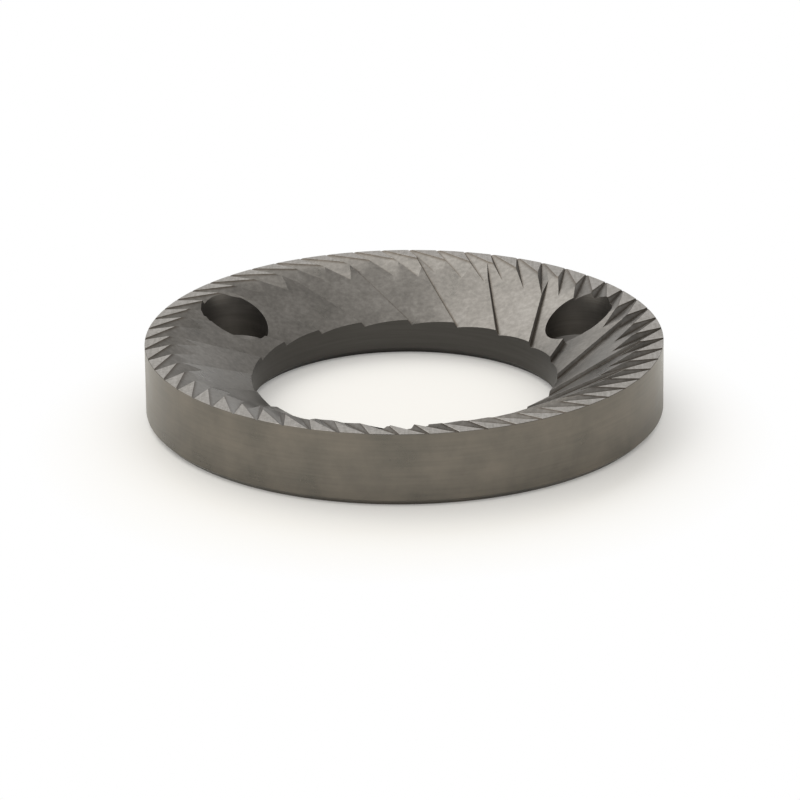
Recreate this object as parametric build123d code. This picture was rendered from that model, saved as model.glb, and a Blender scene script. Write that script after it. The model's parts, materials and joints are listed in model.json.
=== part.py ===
from build123d import *
from math import cos, radians, sin, tan
import os

# A flat grinding burr: one ring of hardened steel, teeth up, standing on its mounting face.
# Lengths are in millimetres and angles in degrees. Angles about the axis run anticlockwise seen from above.

# The turned ring.
outer_diameter = 64.0
bore_diameter = 37.8
height = 9.3
foot_chamfer = 0.75
bore_foot_chamfer = 0.9
rim_edge_break = 0.12
dish_diameter = 57.0
dish_depth = 4.65
dish_stock = 0.3

# The breakers: coarse sawtooth steps that spread from the bore over the dish.
breaker_count = 20
breaker_step_bore = 0.7
breaker_step_dish = 0.45
breaker_sweep = 16.0
breaker_wall_angle = 52.0
breaker_overlap = 0.08
breaker_run_out = 2.0

# The fine teeth: slanting grooves that leave flat lands round the rim, and fall faster into the dish past a bend.
fine_count = 56
fine_first_angle = 1.7
fine_lean = 36.0
fine_rim_depth = 0.14
fine_rim_fall = 5.9
fine_dish_fall = 16.0
fine_bend = 5.8
fine_floor_angle = 20.6
fine_wall_angle = 52.0
fine_run_in = 2.0

# The countersunk screw holes.
screw_count = 3
screw_circle_diameter = 49.8
screw_first_angle = 30.0
screw_head_diameter = 8.4
screw_seat_height = 3.5
screw_shank_diameter = 4.5
screw_cone_angle = 90.0

outer_radius = outer_diameter / 2
bore_radius = bore_diameter / 2
dish_radius = dish_diameter / 2
ring_width = outer_radius - bore_radius
up = Vector(0, 0, 1)


def at(radius, angle, level):
    """The point at this radius, angle and height."""
    return Vector(radius * cos(radians(angle)), radius * sin(radians(angle)), level)


def turned(point, angle):
    """The point turned about the axis."""
    return point.rotate(Axis.Z, angle)


def along(start, end, share):
    """The point at this share of the way from start to end."""
    return start + (end - start) * share


def straight_cutter(*ends):
    """A cutter with straight sides between two flat sections with as many corners each."""
    sections = [make_face(Polyline(*corners, close=True)) for corners in ends]
    return loft(sections, ruled=True)


def turned_ring():
    """The ring as it leaves the lathe, with its dish, its bore and its broken edges."""
    dish_edge = height - dish_depth + dish_stock
    stock_radius = dish_radius - dish_stock * (dish_radius - bore_radius) / dish_depth
    outline = Polyline(
        (bore_radius + bore_foot_chamfer, 0),
        (outer_radius - foot_chamfer, 0),
        (outer_radius, foot_chamfer),
        (outer_radius, height - rim_edge_break),
        (outer_radius - rim_edge_break, height),
        (stock_radius, height),
        (bore_radius, dish_edge),
        (bore_radius, bore_foot_chamfer),
        close=True,
    )
    section = make_face(Plane.XZ * outline)
    return revolve(section, axis=Axis.Z)


def breaker_cutter():
    """One breaker: a long floor that falls away from its crest, and a short wall up to the next crest."""
    bore_crest = at(bore_radius, 0, height - dish_depth)
    dish_crest = at(dish_radius, breaker_sweep, height)
    run_out = breaker_run_out / (dish_radius - bore_radius)
    sections = []
    for share in (-run_out, 1 + run_out):
        crest = along(bore_crest, dish_crest, share)
        next_crest = turned(crest, 360 / breaker_count)
        step = breaker_step_bore + (breaker_step_dish - breaker_step_bore) * share
        back = (crest - next_crest).normalized()
        foot = next_crest + back * (step / tan(radians(breaker_wall_angle))) - up * step
        floor_end = along(foot, crest, 1 + breaker_overlap)
        wall_end = along(foot, next_crest, 1 + breaker_overlap)
        clear = up * dish_depth
        sections.append((foot, floor_end, floor_end + clear, wall_end + clear, wall_end))
    return straight_cutter(*sections)


def fine_cutter(rim_depth, fall):
    """One straight run of a fine groove: a V with a shallow floor and a steep wall, rising towards the rim."""
    inward = Vector(-cos(radians(fine_lean)), -sin(radians(fine_lean)), -tan(radians(fall)))
    to_floor = Vector(sin(radians(fine_lean)), -cos(radians(fine_lean)), 0)
    depth = rim_depth + ring_width * tan(radians(fall))
    floor_end = to_floor * (depth / tan(radians(fine_floor_angle))) + up * depth
    wall_end = to_floor * (-depth / tan(radians(fine_wall_angle))) + up * depth
    rim = at(outer_radius, 0, height - rim_depth)
    sections = []
    for run in (ring_width, -fine_run_in):
        foot = rim + inward * run
        sections.append((foot, foot + floor_end, foot + wall_end))
    return Rot(0, 0, fine_first_angle) * straight_cutter(*sections)


def screw_cutter():
    """One screw hole: a shank hole, a cone for the screw's head and a clear well above it."""
    head_radius = screw_head_diameter / 2
    shank_radius = screw_shank_diameter / 2
    cone_depth = (head_radius - shank_radius) / tan(radians(screw_cone_angle / 2))
    outline = Polyline(
        (0, 0),
        (shank_radius, 0),
        (shank_radius, screw_seat_height - cone_depth),
        (head_radius, screw_seat_height),
        (head_radius, height),
        (0, height),
        close=True,
    )
    return revolve(make_face(Plane.XZ * outline), axis=Axis.Z)


def ring_of(cutter, count):
    """Copies of a cutter, evenly spaced about the axis."""
    return [Rot(0, 0, 360 / count * index) * cutter for index in range(count)]


def burr():
    """The whole burr: the turned ring, then its teeth, then its screw holes."""
    ring = turned_ring()
    ring -= ring_of(breaker_cutter(), breaker_count)
    bend_rise = fine_bend * (tan(radians(fine_dish_fall)) - tan(radians(fine_rim_fall)))
    ring -= ring_of(fine_cutter(fine_rim_depth, fine_rim_fall), fine_count)
    ring -= ring_of(fine_cutter(fine_rim_depth - bend_rise, fine_dish_fall), fine_count)
    hole = Pos(at(screw_circle_diameter / 2, screw_first_angle, 0)) * screw_cutter()
    ring -= ring_of(hole, screw_count)
    return ring.solids().sort_by(SortBy.VOLUME)[-1]


os.makedirs("parts", exist_ok=True)
export_step(burr(), "parts/burr.step")
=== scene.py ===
import json
import math

import bpy
from mathutils import Matrix, Vector


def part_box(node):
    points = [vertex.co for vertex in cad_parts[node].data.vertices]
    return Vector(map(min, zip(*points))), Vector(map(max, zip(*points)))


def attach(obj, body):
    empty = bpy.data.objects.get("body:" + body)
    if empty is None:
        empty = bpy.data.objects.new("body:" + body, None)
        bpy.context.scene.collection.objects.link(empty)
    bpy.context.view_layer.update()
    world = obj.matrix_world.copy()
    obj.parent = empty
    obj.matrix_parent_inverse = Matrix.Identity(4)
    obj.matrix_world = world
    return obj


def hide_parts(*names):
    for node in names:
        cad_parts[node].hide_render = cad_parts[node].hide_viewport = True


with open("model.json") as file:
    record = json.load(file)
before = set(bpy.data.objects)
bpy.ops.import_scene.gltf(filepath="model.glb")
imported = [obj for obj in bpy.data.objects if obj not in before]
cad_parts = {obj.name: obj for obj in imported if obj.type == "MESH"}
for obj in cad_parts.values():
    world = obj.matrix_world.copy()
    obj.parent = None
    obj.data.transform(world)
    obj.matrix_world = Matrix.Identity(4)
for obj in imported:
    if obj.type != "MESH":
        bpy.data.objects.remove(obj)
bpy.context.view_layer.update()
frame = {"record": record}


# The turned ring: one disc of hardened tool steel, faced, bored and dished on a lathe.
# Its wall is ground round, and its edges are broken with small chamfers.
# It stands on its mounting face, and nothing is fixed to it.
mm = 0.001
mounts = {mount["name"]: mount for mount in frame["record"]["mounts"]}
burr_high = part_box("burr")[1]
outer_radius = burr_high.x
height = burr_high.z
bore_radius = mounts["bore"]["dims"]["r_mm"] * mm
dish_radius = 28.5 * mm
dish_depth = 4.65 * mm
dish_stock = 0.3 * mm
foot_chamfer = 0.75 * mm
bore_foot_chamfer = 0.9 * mm
rim_edge_break = 0.05 * mm
ring_segments = 288
merge_gap = 0.001 * mm
upright = 0.99


def linear(hex_colour):
    """The linear colour of an sRGB hex value."""
    channels = [int(hex_colour[i:i + 2], 16) / 255 for i in (1, 3, 5)]
    return [c / 12.92 if c <= 0.04045 else ((c + 0.055) / 1.055) ** 2.4 for c in channels] + [1]


def add_node(tree, kind, inputs=(), **settings):
    """Adds a node with its settings. An input is a value, or the socket that is linked to it."""
    node = tree.nodes.new(kind)
    for name, value in settings.items():
        setattr(node, name, value)
    for key, value in dict(inputs).items():
        if isinstance(value, bpy.types.NodeSocket):
            tree.links.new(value, node.inputs[key])
        else:
            node.inputs[key].default_value = value
    return node


def new_material(name):
    """An empty node material and its tree."""
    material = bpy.data.materials.new(name)
    material.use_nodes = True
    material.node_tree.nodes.clear()
    return material, material.node_tree


def pick(piece, kind, test):
    """Selects the vertices, edges or polygons of a piece that pass a test, and nothing else."""
    for layer in ("vertices", "edges", "polygons"):
        for item in getattr(piece.data, layer):
            item.select = False
    for item in getattr(piece.data, kind):
        item.select = test(item)


def edit(piece, mode):
    """Opens a piece for editing by vertices, edges or faces."""
    bpy.context.view_layer.objects.active = piece
    bpy.ops.object.mode_set(mode="EDIT")
    bpy.ops.mesh.select_mode(type=mode)


def done():
    """Closes the piece that is being edited."""
    bpy.ops.object.mode_set(mode="OBJECT")


def break_edge(radius, level, width):
    """Chamfers the ring's round edge at this radius and height."""
    points = ring.data.vertices
    near = 0.01 * mm

    def on_edge(edge):
        ends = [points[i].co for i in edge.vertices]
        return all(abs(p.xy.length - radius) < near and abs(p.z - level) < near for p in ends)

    pick(ring, "edges", on_edge)
    edit(ring, "EDGE")
    bpy.ops.mesh.bevel(offset=width, segments=1, affect="EDGES")
    done()


bpy.ops.object.select_all(action="DESELECT")
bpy.ops.mesh.primitive_cylinder_add(
    vertices=ring_segments, radius=outer_radius, depth=height, location=(0, 0, height / 2))
ring = bpy.context.object
ring.name = "burr_ring"
bpy.ops.object.transform_apply(location=True)
stock_radius = dish_radius - dish_stock * (dish_radius - bore_radius) / dish_depth
stock_depth = dish_depth - dish_stock
pick(ring, "polygons", lambda face: face.normal.z > upright)
edit(ring, "FACE")
bpy.ops.mesh.inset(thickness=outer_radius - stock_radius)
bpy.ops.mesh.extrude_region_move(TRANSFORM_OT_translate={"value": (0, 0, -stock_depth)})
narrowing = bore_radius / stock_radius
bpy.ops.transform.resize(value=(narrowing, narrowing, 1), center_override=(0, 0, 0))
bpy.ops.mesh.extrude_region_move(TRANSFORM_OT_translate={"value": (0, 0, stock_depth - height)})
bpy.ops.mesh.delete(type="ONLY_FACE")
done()
pick(ring, "polygons", lambda face: face.normal.z < -upright)
edit(ring, "FACE")
bpy.ops.mesh.inset(thickness=outer_radius - bore_radius)
bpy.ops.mesh.delete(type="ONLY_FACE")
bpy.ops.mesh.select_all(action="SELECT")
bpy.ops.mesh.remove_doubles(threshold=merge_gap)
bpy.ops.mesh.normals_make_consistent(inside=False)
done()
break_edge(outer_radius, 0, foot_chamfer)
break_edge(bore_radius, 0, bore_foot_chamfer)
break_edge(outer_radius, height, rim_edge_break)

# Ground tool steel: a dark, slightly warm grey metal with a satin face. Grinding leaves faint lines
# round the wall, and handling leaves soft blotches. The lines are drawn coarser than real ones, to show.
wall_line = 0.35 * mm
wall_line_length = 9 * mm
wall_blotch = 6 * mm
ground_steel, tree = new_material("ground_tool_steel")
place = add_node(tree, "ShaderNodeTexCoord").outputs["Object"]
stretched = add_node(tree, "ShaderNodeMapping", {
    "Vector": place, "Scale": (1 / wall_line_length, 1 / wall_line_length, 1 / wall_line)})
lines = add_node(tree, "ShaderNodeTexNoise", {
    "Vector": stretched.outputs[0], "Scale": 1, "Detail": 3, "Roughness": 0.6})
blotches = add_node(tree, "ShaderNodeTexNoise", {
    "Vector": place, "Scale": 1 / wall_blotch, "Detail": 4, "Roughness": 0.6})
shade = add_node(tree, "ShaderNodeMix", {
    "Factor": 0.75, 2: lines.outputs["Fac"], 3: blotches.outputs["Fac"]})
colour = add_node(tree, "ShaderNodeValToRGB", {"Fac": shade.outputs[0]})
colour.color_ramp.elements[0].position = 0.32
colour.color_ramp.elements[0].color = linear("#68655f")
colour.color_ramp.elements[1].position = 0.68
colour.color_ramp.elements[1].color = linear("#807a71")
sheen = add_node(tree, "ShaderNodeMapRange", {
    "Value": blotches.outputs["Fac"], "From Min": 0.3, "From Max": 0.7, "To Min": 0.26, "To Max": 0.38})
relief = add_node(tree, "ShaderNodeBump", {
    "Height": lines.outputs["Fac"], "Strength": 0.04, "Distance": 0.02 * mm})
steel = add_node(tree, "ShaderNodeBsdfPrincipled", {
    "Base Color": colour.outputs["Color"], "Roughness": sheen.outputs[0],
    "Normal": relief.outputs["Normal"], "Metallic": 1.0})
add_node(tree, "ShaderNodeOutputMaterial", {"Surface": steel.outputs[0]})
ring.data.materials.append(ground_steel)

# Lapped tool steel: the flat lands are ground last, all in one plane, so they are the brightest faces,
# with a fine grain that runs straight across the ring, and small dull specks.
# The grain and the specks are drawn coarser than real ones, to show.
lap_line = 0.3 * mm
lap_line_length = 4 * mm
lap_speck = 0.45 * mm
lapped_steel, tree = new_material("lapped_tool_steel")
place = add_node(tree, "ShaderNodeTexCoord").outputs["Object"]
stretched = add_node(tree, "ShaderNodeMapping", {
    "Vector": place, "Scale": (1 / lap_line, 1 / lap_line_length, 1 / lap_line)})
lines = add_node(tree, "ShaderNodeTexNoise", {
    "Vector": stretched.outputs[0], "Scale": 1, "Detail": 3, "Roughness": 0.6})
specks = add_node(tree, "ShaderNodeTexNoise", {
    "Vector": place, "Scale": 1 / lap_speck, "Detail": 4, "Roughness": 0.65})
shade = add_node(tree, "ShaderNodeMix", {
    "Factor": 0.6, 2: lines.outputs["Fac"], 3: specks.outputs["Fac"]})
colour = add_node(tree, "ShaderNodeValToRGB", {"Fac": shade.outputs[0]})
colour.color_ramp.elements[0].position = 0.34
colour.color_ramp.elements[0].color = linear("#99948b")
colour.color_ramp.elements[1].position = 0.62
colour.color_ramp.elements[1].color = linear("#c1bcb6")
relief = add_node(tree, "ShaderNodeBump", {
    "Height": lines.outputs["Fac"], "Strength": 0.1, "Distance": 0.02 * mm})
steel = add_node(tree, "ShaderNodeBsdfPrincipled", {
    "Base Color": colour.outputs["Color"], "Normal": relief.outputs["Normal"],
    "Roughness": 0.3, "Metallic": 1.0})
add_node(tree, "ShaderNodeOutputMaterial", {"Surface": steel.outputs[0]})
ring.data.materials.append(lapped_steel)

# Bored tool steel: the boring bar leaves fine rings, and the bore is never ground, so it stays dull. Its dark
# colour is painted shade, as if the bore stood in shade.
# The rings are drawn coarser than real ones, to show.
bore_line = 0.3 * mm
bore_line_length = 8 * mm
shaded_bored_steel, tree = new_material("bored_tool_steel")
place = add_node(tree, "ShaderNodeTexCoord").outputs["Object"]
stretched = add_node(tree, "ShaderNodeMapping", {
    "Vector": place, "Scale": (1 / bore_line_length, 1 / bore_line_length, 1 / bore_line)})
lines = add_node(tree, "ShaderNodeTexNoise", {
    "Vector": stretched.outputs[0], "Scale": 1, "Detail": 3, "Roughness": 0.6})
# The ramp's dark colours are painted shade in the bore.
colour = add_node(tree, "ShaderNodeValToRGB", {"Fac": lines.outputs["Fac"]})
colour.color_ramp.elements[0].position = 0.3
colour.color_ramp.elements[0].color = linear("#504e4b")
colour.color_ramp.elements[1].position = 0.7
colour.color_ramp.elements[1].color = linear("#565451")
relief = add_node(tree, "ShaderNodeBump", {
    "Height": lines.outputs["Fac"], "Strength": 0.02, "Distance": 0.03 * mm})
steel = add_node(tree, "ShaderNodeBsdfPrincipled", {
    "Base Color": colour.outputs["Color"], "Normal": relief.outputs["Normal"],
    "Roughness": 0.45, "Metallic": 1.0})
add_node(tree, "ShaderNodeOutputMaterial", {"Surface": steel.outputs[0]})
ring.data.materials.append(shaded_bored_steel)

for face in ring.data.polygons:
    if face.normal.z > upright:
        face.material_index = ring.data.materials.find(lapped_steel.name)
    elif face.center.xy.length < bore_radius + bore_foot_chamfer:
        face.material_index = ring.data.materials.find(shaded_bored_steel.name)


# The fine teeth: slanting grooves round the rim that leave flat lands, and set the size of the grind.
# Each groove is a V with a shallow floor and a steep wall, milled into the ring. It is shallowest at the rim,
# falls towards the bore, and runs out into the dish.
fine_count = 56
fine_first_angle = math.radians(0.3)
fine_lean = math.radians(31.7)
fine_rim_depth = 0.13 * mm
fine_fall = math.radians(8.6)
fine_floor_angle = math.radians(24.5)
fine_wall_angle = math.radians(52.0)
fine_run_in = 2.0 * mm
fine_passes = 4
sort_angle = math.radians(57.3)
up = Vector((0, 0, 1))


def at(radius, angle, level):
    """The point at this radius, angle and height."""
    return Vector((radius * math.cos(angle), radius * math.sin(angle), level))


def turn(count, index):
    """The turn about the axis that brings the first of so many to this one."""
    return Matrix.Rotation(2 * math.pi * index / count, 4, "Z")


def straight_cutter(*ends, cuts):
    """A cutter with straight sides between two sections, from a cylinder with as many corners.
    Twisted sides need cuts to stay smooth."""
    bpy.ops.object.select_all(action="DESELECT")
    bpy.ops.mesh.primitive_cylinder_add(vertices=len(ends[0]), location=(0, 0, 0))
    cutter = bpy.context.object
    points = sorted(cutter.data.vertices, key=lambda point: point.co.z)
    for point, place in zip(points, [corner for end in ends for corner in end]):
        point.co = place
    edit(cutter, "FACE")
    bpy.ops.mesh.select_all(action="SELECT")
    bpy.ops.mesh.normals_make_consistent(inside=False)
    done()
    pick(cutter, "polygons", lambda face: len(face.vertices) == 4)
    edit(cutter, "FACE")
    if cuts:
        bpy.ops.mesh.subdivide(number_cuts=cuts)
    bpy.ops.mesh.select_all(action="SELECT")
    bpy.ops.mesh.quads_convert_to_tris()
    done()
    return cutter


def cut_round(cutter, count, finish, passes):
    """Cuts copies of a cutter about the axis out of the ring. The cut faces take the finish.
    Copies that overlap are cut in separate passes. A cut leaves the ring's points in any order, so they are
    sorted by their distance to the cursor, which stands off the pattern, and every run merges them alike."""
    cutter.data.materials.clear()
    cutter.data.materials.append(finish)
    for first in range(passes):
        bpy.ops.object.select_all(action="DESELECT")
        for index in range(first, count, passes):
            copy = cutter.copy()
            copy.data = cutter.data.copy()
            copy.data.transform(turn(count, index))
            bpy.context.collection.objects.link(copy)
            copy.select_set(True)
        bpy.context.view_layer.objects.active = copy
        bpy.ops.object.join()
        cut = ring.modifiers.new("cut", "BOOLEAN")
        cut.operation = "DIFFERENCE"
        cut.solver = "EXACT"
        cut.material_mode = "TRANSFER"
        cut.object = copy
        bpy.context.view_layer.objects.active = ring
        bpy.ops.object.modifier_apply(modifier=cut.name)
        bpy.data.objects.remove(copy)
    bpy.data.objects.remove(cutter)
    bpy.context.scene.cursor.location = at(2 * outer_radius, sort_angle, height)
    edit(ring, "VERT")
    bpy.ops.mesh.select_all(action="SELECT")
    bpy.ops.mesh.sort_elements(type="CURSOR_DISTANCE", elements={"VERT", "EDGE", "FACE"})
    bpy.ops.mesh.remove_doubles(threshold=merge_gap)
    bpy.ops.mesh.dissolve_degenerate(threshold=merge_gap)
    done()


# Milled tool steel: a satin grey metal. After hardening its face is softly mottled, with small blotches
# inside wider patches. Painted shade darkens it with a warm tint just under the lands and in corners.
mill_blotch = 0.6 * mm
mill_patch = 4.5 * mm
under_land_shade_depth = 0.24 * mm
corner_shade_reach = 0.35 * mm
milled_steel, tree = new_material("milled_tool_steel")
place = add_node(tree, "ShaderNodeTexCoord").outputs["Object"]
blotches = add_node(tree, "ShaderNodeTexNoise", {
    "Vector": place, "Scale": 1 / mill_blotch, "Detail": 5, "Roughness": 0.6})
patches = add_node(tree, "ShaderNodeTexNoise", {
    "Vector": place, "Scale": 1 / mill_patch, "Detail": 3, "Roughness": 0.5})
shade = add_node(tree, "ShaderNodeMix", {
    "Factor": 0.5, 2: blotches.outputs["Fac"], 3: patches.outputs["Fac"]})
colour = add_node(tree, "ShaderNodeValToRGB", {"Fac": shade.outputs[0]})
colour.color_ramp.elements[0].position = 0.3
colour.color_ramp.elements[0].color = linear("#67645f")
colour.color_ramp.elements[1].position = 0.7
colour.color_ramp.elements[1].color = linear("#928e88")
colour.color_ramp.elements.new(0.5).color = linear("#7d7973")
# Painted shade just under the lands: the colour gets darker towards the land level.
level = add_node(tree, "ShaderNodeSeparateXYZ", {"Vector": place})
under_land_shade = add_node(tree, "ShaderNodeMapRange", {
    "Value": level.outputs["Z"], "From Min": height - under_land_shade_depth, "From Max": height,
    "To Min": 1.0, "To Max": 0.0}, interpolation_type="SMOOTHSTEP")
# Painted shade in corners, where ambient occlusion finds them closed in.
openness = add_node(tree, "ShaderNodeAmbientOcclusion", {"Distance": corner_shade_reach}, samples=8)
corner_shade = add_node(tree, "ShaderNodeMapRange", {
    "Value": openness.outputs["AO"], "From Min": 0.62, "From Max": 1.0, "To Min": 0.0, "To Max": 1.0})
unshaded = add_node(tree, "ShaderNodeMath", {0: under_land_shade.outputs[0], 1: corner_shade.outputs[0]}, operation="MULTIPLY")
# The painted shade's warm tint, multiplied into the colour.
painted_shade_tint = add_node(tree, "ShaderNodeMix", {
    0: unshaded.outputs[0], 6: linear("#c0b7ad"), 7: (1, 1, 1, 1)}, data_type="RGBA")
shaded_colour = add_node(tree, "ShaderNodeMix", {
    0: 1.0, 6: colour.outputs["Color"], 7: painted_shade_tint.outputs[2]}, data_type="RGBA", blend_type="MULTIPLY")
sheen = add_node(tree, "ShaderNodeMapRange", {
    "Value": patches.outputs["Fac"], "From Min": 0.3, "From Max": 0.7, "To Min": 0.26, "To Max": 0.38})
relief = add_node(tree, "ShaderNodeBump", {
    "Height": blotches.outputs["Fac"], "Strength": 0.2, "Distance": 0.03 * mm})
steel = add_node(tree, "ShaderNodeBsdfPrincipled", {
    "Base Color": shaded_colour.outputs[2], "Roughness": sheen.outputs[0],
    "Normal": relief.outputs["Normal"], "Metallic": 1.0})
add_node(tree, "ShaderNodeOutputMaterial", {"Surface": steel.outputs[0]})

ring_width = outer_radius - bore_radius
inward = Vector((-math.cos(fine_lean), -math.sin(fine_lean), -math.tan(fine_fall)))
to_floor = Vector((math.sin(fine_lean), -math.cos(fine_lean), 0))
depth = fine_rim_depth + ring_width * math.tan(fine_fall)
floor_end = to_floor * (depth / math.tan(fine_floor_angle)) + up * depth
wall_end = to_floor * (-depth / math.tan(fine_wall_angle)) + up * depth
sections = []
for run in (ring_width, -fine_run_in):
    foot = at(outer_radius, 0, height - fine_rim_depth) + inward * run
    sections.append((foot, foot + floor_end, foot + wall_end))
groove = straight_cutter(*sections, cuts=0)
groove.data.transform(Matrix.Rotation(fine_first_angle, 4, "Z"))
cut_round(groove, fine_count, milled_steel, fine_passes)


# The breakers: coarse sawtooth steps that spread from the bore over the dish, and crush the beans.
# Each has a long floor that falls away from its crest, and a short steep wall up to the next crest.
# They are milled into the same steel, so they are cut from the ring here.
breaker_count = 20
breaker_step_bore = 0.7 * mm
breaker_step_dish = 0.45 * mm
breaker_sweep = math.radians(16.0)
breaker_wall_angle = math.radians(52.0)
breaker_overlap = 0.08
breaker_run_out = 2.0 * mm
breaker_cuts = 7
breaker_passes = 2

bore_crest = at(bore_radius, 0, height - dish_depth)
dish_crest = at(dish_radius, breaker_sweep, height)
run_out = breaker_run_out / (dish_radius - bore_radius)
sections = []
for share in (-run_out, 1 + run_out):
    crest = bore_crest.lerp(dish_crest, share)
    next_crest = turn(breaker_count, 1) @ crest
    step = breaker_step_bore + (breaker_step_dish - breaker_step_bore) * share
    back = (crest - next_crest).normalized()
    foot = next_crest + back * (step / math.tan(breaker_wall_angle)) - up * step
    floor_end = foot + (crest - foot) * (1 + breaker_overlap)
    wall_end = foot + (next_crest - foot) * (1 + breaker_overlap)
    clear = up * dish_depth
    sections.append((foot, floor_end, floor_end + clear, wall_end + clear, wall_end))
cut_round(straight_cutter(*sections, cuts=breaker_cuts), breaker_count, milled_steel, breaker_passes)


# The screw holes: three countersunk holes through the ring, for the screws that hold it to its carrier.
# Each is a shank hole, a cone for the screw's head and a clear well above it, sunk below the teeth.
screw_dims = mounts["screws"]["dims"]
screw_count = screw_dims["count"]
screw_circle_radius = screw_dims["pcd_mm"] / 2 * mm
screw_shank_radius = screw_dims["hole_r_mm"] * mm
screw_first_angle = math.radians(30.0)
screw_head_radius = 4.2 * mm
screw_seat_height = 3.5 * mm
screw_cone_angle = math.radians(90.0)
screw_segments = 72
screw_clear = 1.0 * mm

# Drilled tool steel: the drill and the countersink leave fine rings round the hole, and the face is dull.
# The rings are drawn coarser than real ones, to show.
drill_line = 0.25 * mm
drill_line_length = 6 * mm
drilled_steel, tree = new_material("drilled_tool_steel")
place = add_node(tree, "ShaderNodeTexCoord").outputs["Object"]
stretched = add_node(tree, "ShaderNodeMapping", {
    "Vector": place, "Scale": (1 / drill_line_length, 1 / drill_line_length, 1 / drill_line)})
lines = add_node(tree, "ShaderNodeTexNoise", {
    "Vector": stretched.outputs[0], "Scale": 1, "Detail": 3, "Roughness": 0.6})
colour = add_node(tree, "ShaderNodeValToRGB", {"Fac": lines.outputs["Fac"]})
colour.color_ramp.elements[0].position = 0.3
colour.color_ramp.elements[0].color = linear("#86827d")
colour.color_ramp.elements[1].position = 0.7
colour.color_ramp.elements[1].color = linear("#94908b")
relief = add_node(tree, "ShaderNodeBump", {
    "Height": lines.outputs["Fac"], "Strength": 0.04, "Distance": 0.03 * mm})
steel = add_node(tree, "ShaderNodeBsdfPrincipled", {
    "Base Color": colour.outputs["Color"], "Normal": relief.outputs["Normal"],
    "Roughness": 0.42, "Metallic": 1.0})
add_node(tree, "ShaderNodeOutputMaterial", {"Surface": steel.outputs[0]})

cone_depth = (screw_head_radius - screw_shank_radius) / math.tan(screw_cone_angle / 2)
bpy.ops.object.select_all(action="DESELECT")
bpy.ops.mesh.primitive_cylinder_add(
    vertices=screw_segments, radius=screw_shank_radius, depth=screw_clear, location=(0, 0, -screw_clear / 2))
screw_hole = bpy.context.object
bpy.ops.object.transform_apply(location=True)
pick(screw_hole, "polygons", lambda face: face.normal.z > upright)
edit(screw_hole, "FACE")
bpy.ops.mesh.extrude_region_move(TRANSFORM_OT_translate={"value": (0, 0, screw_seat_height - cone_depth)})
bpy.ops.mesh.extrude_region_move(TRANSFORM_OT_translate={"value": (0, 0, cone_depth)})
widening = screw_head_radius / screw_shank_radius
bpy.ops.transform.resize(value=(widening, widening, 1), center_override=(0, 0, screw_seat_height))
well = height - screw_seat_height + screw_clear
bpy.ops.mesh.extrude_region_move(TRANSFORM_OT_translate={"value": (0, 0, well)})
done()
screw_hole.data.transform(Matrix.Translation(at(screw_circle_radius, screw_first_angle, 0)))
cut_round(screw_hole, screw_count, drilled_steel, passes=1)


# The edges: every tooth and hole edge of the hardened steel is worn very slightly round,
# so it catches a thin line of light. Slivers not much wider than that wear are gone.
edge_wear = 0.012 * mm
sliver = 2.5 * edge_wear
crease = math.radians(14)
smooth_limit = math.radians(11)

edit(ring, "VERT")
bpy.ops.mesh.select_all(action="SELECT")
bpy.ops.mesh.remove_doubles(threshold=sliver)
done()
wear = ring.modifiers.new("edge_wear", "BEVEL")
wear.width = edge_wear
wear.segments = 1
wear.limit_method = "ANGLE"
wear.angle_limit = crease
wear.use_clamp_overlap = False
bpy.context.view_layer.objects.active = ring
bpy.ops.object.modifier_apply(modifier=wear.name)
bpy.ops.object.select_all(action="DESELECT")
ring.select_set(True)
# Wear takes metal away, so nothing stands above the lands.
for point in ring.data.vertices:
    point.co.z = min(point.co.z, height)
bpy.ops.object.shade_smooth_by_angle(angle=smooth_limit)
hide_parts("burr")
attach(ring, "root")


# The floor: a plain white paper sheet under the ring. It keeps the ring's soft shadow, and fades out
# into the white background a little way off. The shadow falls to the front, so the fade's middle
# lies a little ahead of the axis.
floor_half = 1.2
floor_fade_ahead = 0.01
floor_fade_start = 0.03
floor_fade_end = 0.046
floor_glow = 0.15
bpy.ops.object.select_all(action="DESELECT")
bpy.ops.mesh.primitive_plane_add(size=2 * floor_half, location=(0, 0, 0))
floor = bpy.context.object
floor.name = "floor"
paper, tree = new_material("white_paper")
place = add_node(tree, "ShaderNodeTexCoord").outputs["Object"]
distance = add_node(tree, "ShaderNodeVectorMath", {
    0: place, 1: (0, -floor_fade_ahead, 0)}, operation="DISTANCE")
far = add_node(tree, "ShaderNodeMapRange", {
    "Value": distance.outputs["Value"], "From Min": floor_fade_start, "From Max": floor_fade_end,
    "To Min": floor_glow, "To Max": 1.0})
light_path = add_node(tree, "ShaderNodeLightPath")
fade = add_node(tree, "ShaderNodeMath", {
    0: far.outputs[0], 1: light_path.outputs["Is Camera Ray"]}, operation="MULTIPLY")
sheet = add_node(tree, "ShaderNodeBsdfDiffuse", {"Color": linear("#f6f3ec")})
white = add_node(tree, "ShaderNodeEmission", {"Color": (1, 1, 1, 1), "Strength": 1})
faded = add_node(tree, "ShaderNodeMixShader", {
    "Fac": fade.outputs[0], 1: sheet.outputs[0], 2: white.outputs[0]})
add_node(tree, "ShaderNodeOutputMaterial", {"Surface": faded.outputs[0]})
floor.data.materials.append(paper)


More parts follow.
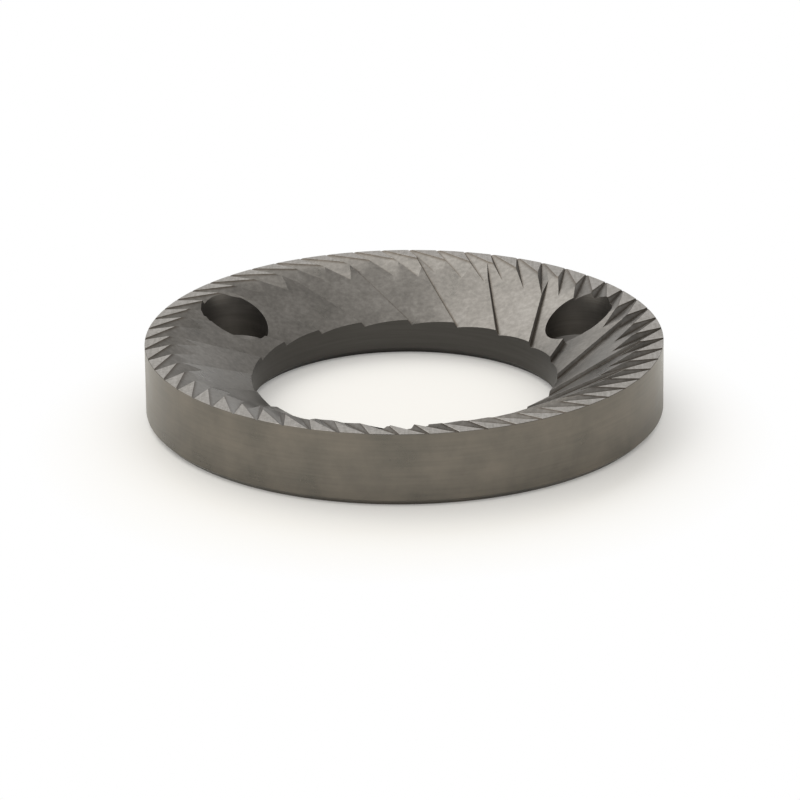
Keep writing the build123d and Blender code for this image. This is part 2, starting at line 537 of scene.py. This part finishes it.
# The light: a white sheet that sweeps up behind, one broad soft lamp behind on the left, and a weaker one
# on the left. The room is dim on the right and on the camera's side, so steel that looks there goes darker.
# Each part of the room starts and ends where a direction of length 1 has gone so far up, right or back.
fill_strength = 0.86
horizon_strength = 0.95
sweep_strength = 0.62
sweep_start, sweep_end = 0.08, 0.36
ceiling_strength = 0.25
ceiling_start, ceiling_end = 0.9, 0.99
right_share = 0.58
right_start, right_end = 0.42, 0.8
room_share = 0.75
room_start, room_end = -0.4, 0.1
lamp_distance = 0.7
world = bpy.data.worlds.new("studio")
bpy.context.scene.world = world
world.use_nodes = True
tree = world.node_tree
tree.nodes.clear()
direction = add_node(tree, "ShaderNodeTexCoord").outputs["Generated"]
parts = add_node(tree, "ShaderNodeSeparateXYZ", {"Vector": direction})
sweep = add_node(tree, "ShaderNodeMapRange", {
    "Value": parts.outputs["Z"], "From Min": sweep_start, "From Max": sweep_end,
    "To Min": horizon_strength, "To Max": sweep_strength}, interpolation_type="SMOOTHSTEP")
ceiling = add_node(tree, "ShaderNodeMapRange", {
    "Value": parts.outputs["Z"], "From Min": ceiling_start, "From Max": ceiling_end,
    "To Min": 0.0, "To Max": ceiling_strength}, interpolation_type="SMOOTHSTEP")
above = add_node(tree, "ShaderNodeMath", {0: sweep.outputs[0], 1: ceiling.outputs[0]}, operation="ADD")
right = add_node(tree, "ShaderNodeMapRange", {
    "Value": parts.outputs["X"], "From Min": right_start, "From Max": right_end,
    "To Min": 1.0, "To Max": right_share}, interpolation_type="SMOOTHSTEP")
room = add_node(tree, "ShaderNodeMapRange", {
    "Value": parts.outputs["Y"], "From Min": room_start, "From Max": room_end,
    "To Min": room_share, "To Max": 1.0}, interpolation_type="SMOOTHSTEP")
dimmed = add_node(tree, "ShaderNodeMath", {0: right.outputs[0], 1: room.outputs[0]}, operation="MULTIPLY")
studio = add_node(tree, "ShaderNodeMath", {0: above.outputs[0], 1: dimmed.outputs[0]}, operation="MULTIPLY")
light_path = add_node(tree, "ShaderNodeLightPath")
mirrored = add_node(tree, "ShaderNodeMath", {
    0: light_path.outputs["Is Glossy Ray"],
    1: light_path.outputs["Is Transmission Ray"]}, operation="MAXIMUM")
strength = add_node(tree, "ShaderNodeMix", {
    "Factor": mirrored.outputs[0], 2: fill_strength, 3: studio.outputs[0]})
seen = add_node(tree, "ShaderNodeMix", {
    "Factor": light_path.outputs["Is Camera Ray"], 2: strength.outputs[0], 3: 1.0})
sky = add_node(tree, "ShaderNodeBackground", {"Color": (1, 1, 1, 1), "Strength": seen.outputs[0]})
add_node(tree, "ShaderNodeOutputWorld", {"Surface": sky.outputs[0]})


def add_lamp(name, azimuth, elevation, size, power):
    """A square soft lamp that shines at the ring from this direction."""
    lamp = bpy.data.lights.new(name, "AREA")
    lamp.size = size
    lamp.energy = power
    stand = bpy.data.objects.new(name, lamp)
    bpy.context.collection.objects.link(stand)
    stand.location = at(lamp_distance * math.cos(elevation), azimuth, lamp_distance * math.sin(elevation))
    stand.rotation_euler = (-stand.location).to_track_quat("-Z", "Y").to_euler()


add_lamp("back_lamp", azimuth=math.radians(131), elevation=math.radians(49), size=0.53, power=1.25)
add_lamp("left_lamp", azimuth=math.radians(205), elevation=math.radians(46), size=0.45, power=0.5)


# The camera: a long lens, a little above the ring, as in the photograph.
# It aims at a point just above the mounting face, with a slight turn and roll.
camera_lens = 288.13
camera_sensor = 36.0
camera_near = 0.05
camera_distance = 0.7928
camera_elevation = math.radians(21.353)
camera_azimuth = math.radians(1.6)
camera_yaw = math.radians(0.042)
camera_roll = math.radians(0.641)
camera_level = 1.17 * mm

camera = bpy.data.cameras.new("camera")
camera.lens = camera_lens
camera.sensor_width = camera_sensor
camera.clip_start = camera_near
holder = bpy.data.objects.new("camera", camera)
bpy.context.collection.objects.link(holder)
back = Vector((0, -math.cos(camera_elevation), math.sin(camera_elevation)))
aim = (-back).to_track_quat("-Z", "Y").to_matrix().to_4x4()
swing = Matrix.Rotation(camera_yaw, 4, "Y")
roll = Matrix.Rotation(-camera_roll, 4, "Z")
lift = Matrix.Translation((0, 0, camera_level))
round_axis = Matrix.Rotation(camera_azimuth, 4, "Z")
away = Matrix.Translation(back * camera_distance)
holder.matrix_world = lift @ round_axis @ away @ aim @ swing @ roll
bpy.context.scene.camera = holder
bpy.context.scene.view_settings.view_transform = "Standard"
